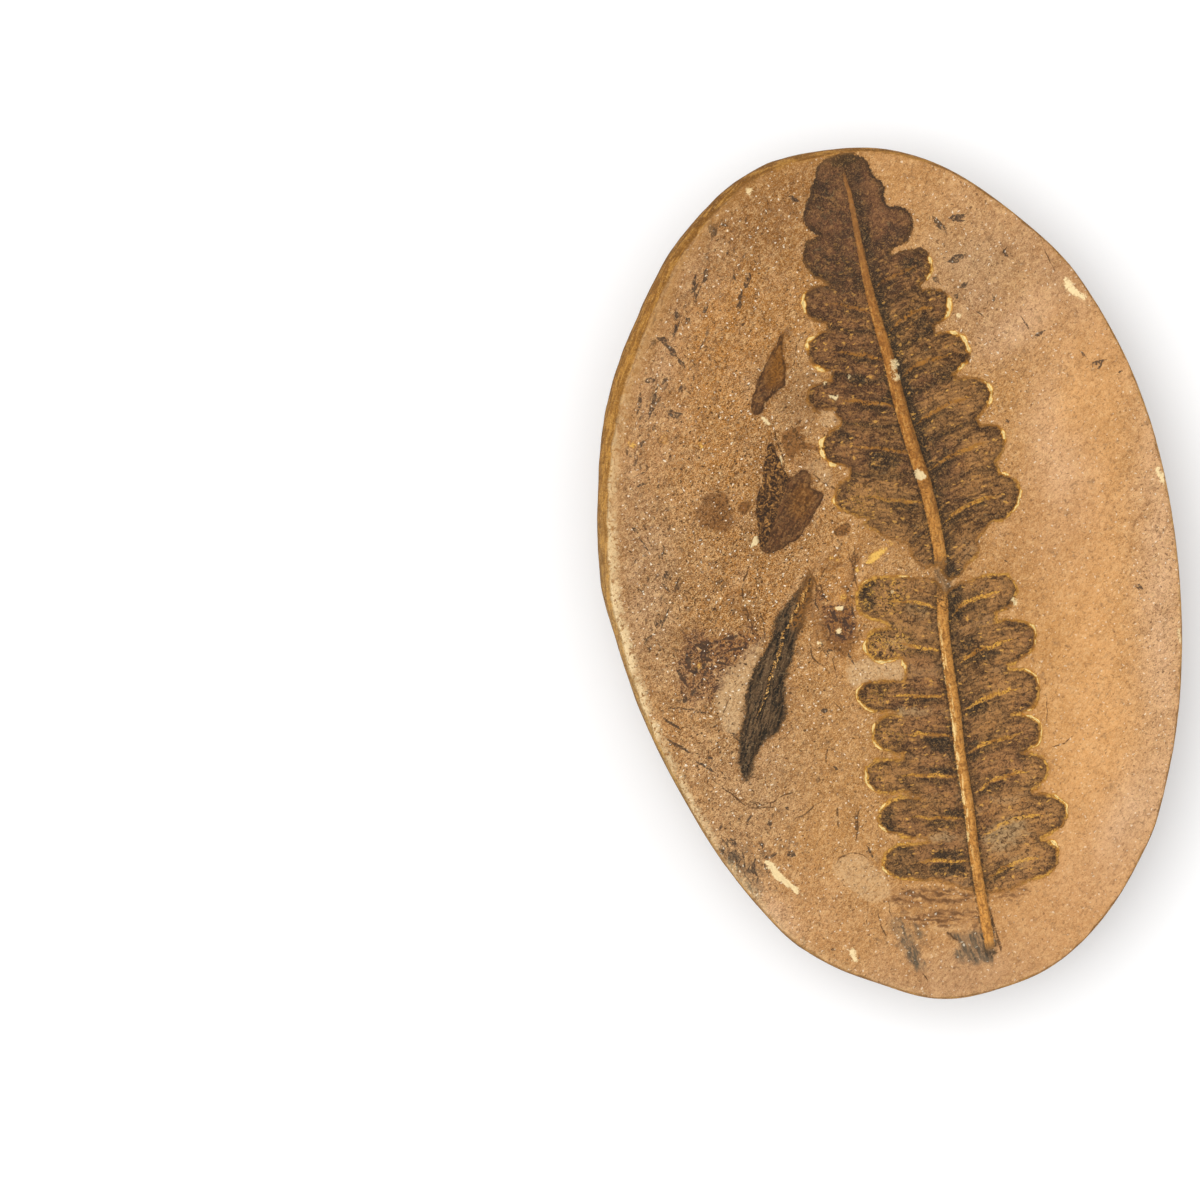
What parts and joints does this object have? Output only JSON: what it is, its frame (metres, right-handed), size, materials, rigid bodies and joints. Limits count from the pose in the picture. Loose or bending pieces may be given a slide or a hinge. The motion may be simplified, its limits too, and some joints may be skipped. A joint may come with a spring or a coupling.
{
  "type": "fossil fern plate",
  "caption": "Split half of an oval stone nodule with a flat face that carries the low relief of a fern frond and its rib, and a domed back with a flat spot to rest on.",
  "frame": {"origin": "under the middle of the plate, on the surface it rests on", "axes": "+Y along the nodule's long axis towards the frond's tip, +Z out of the split face, +X to the right when the face is seen with the tip up"},
  "size_m": [0.0798, 0.1196, 0.0178],
  "materials": {
    "ironstone": "matt, fine sandy grain, dark brown plant film with golden veins"
  },
  "bodies": {
    "root": {"fern_nodule_half": "ironstone"}
  },
  "joints": []
}
